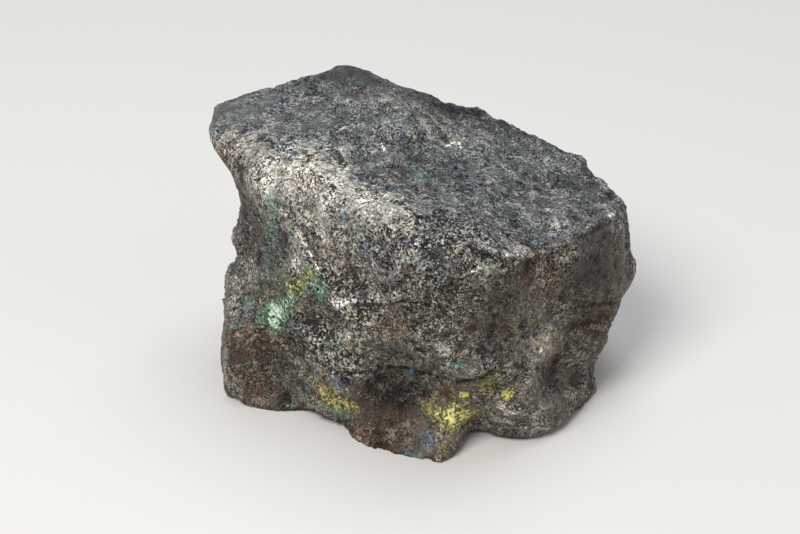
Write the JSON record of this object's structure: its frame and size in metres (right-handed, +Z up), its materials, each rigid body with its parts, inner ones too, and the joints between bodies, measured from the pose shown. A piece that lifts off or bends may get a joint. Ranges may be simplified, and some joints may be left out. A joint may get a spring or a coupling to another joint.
{
  "type": "rough labradorite chunk",
  "caption": "Rough broken chunk of labradorite feldspar with a flat sloping top, a pointed left corner, an undercut front and a small foot; it lies on its broken underside.",
  "frame": {"origin": "middle of the stone's box, on the surface that it lies on", "axes": "+Z up, +X along the stone's longest side towards its low right corner, -Y towards the front with the foot"},
  "size_m": [0.0896, 0.0712, 0.0612],
  "materials": {
    "labradorite": "rough broken feldspar, grey-brown with pale and dark specks, and small patches of green, blue and gold flash"
  },
  "bodies": {
    "root": {"labradorite_chunk": "labradorite"}
  },
  "joints": []
}
